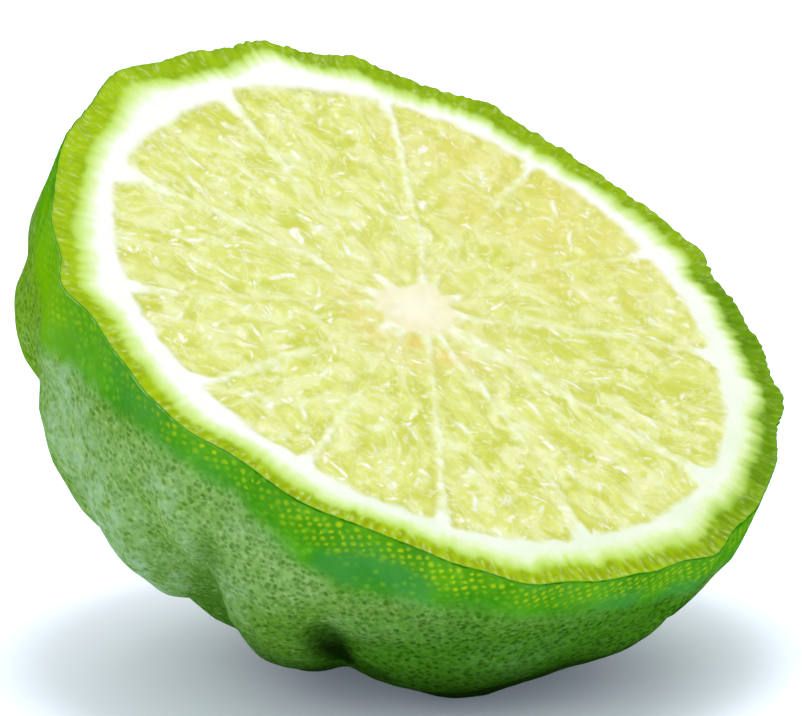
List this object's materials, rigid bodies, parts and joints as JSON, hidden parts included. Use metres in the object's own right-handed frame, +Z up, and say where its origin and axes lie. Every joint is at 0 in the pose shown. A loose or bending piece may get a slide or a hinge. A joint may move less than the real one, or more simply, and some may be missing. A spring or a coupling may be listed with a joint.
{
  "type": "citrus fruit half",
  "caption": "Half of a green, knobbly-skinned bergamot or makrut citrus, cut across its segments, resting tilted on its rind with the pale yellow-green cut face up.",
  "frame": {"origin": "on the surface that the half rests on, under the middle of its bounding box", "axes": "+Z up; +X along the level diameter of the cut face, the longest side; the cut face looks up and towards -Y, 31.6 degrees from level"},
  "size_m": [0.0628, 0.0576, 0.0451],
  "materials": {
    "rind": "waxy green citrus skin, satin, pitted with oil glands",
    "pith": "soft white albedo, matte",
    "pulp": "wet, translucent juice sacs",
    "stem_scar": "dry corky stem scar"
  },
  "bodies": {
    "root": {"bergamot_half": "rind"}
  },
  "joints": []
}
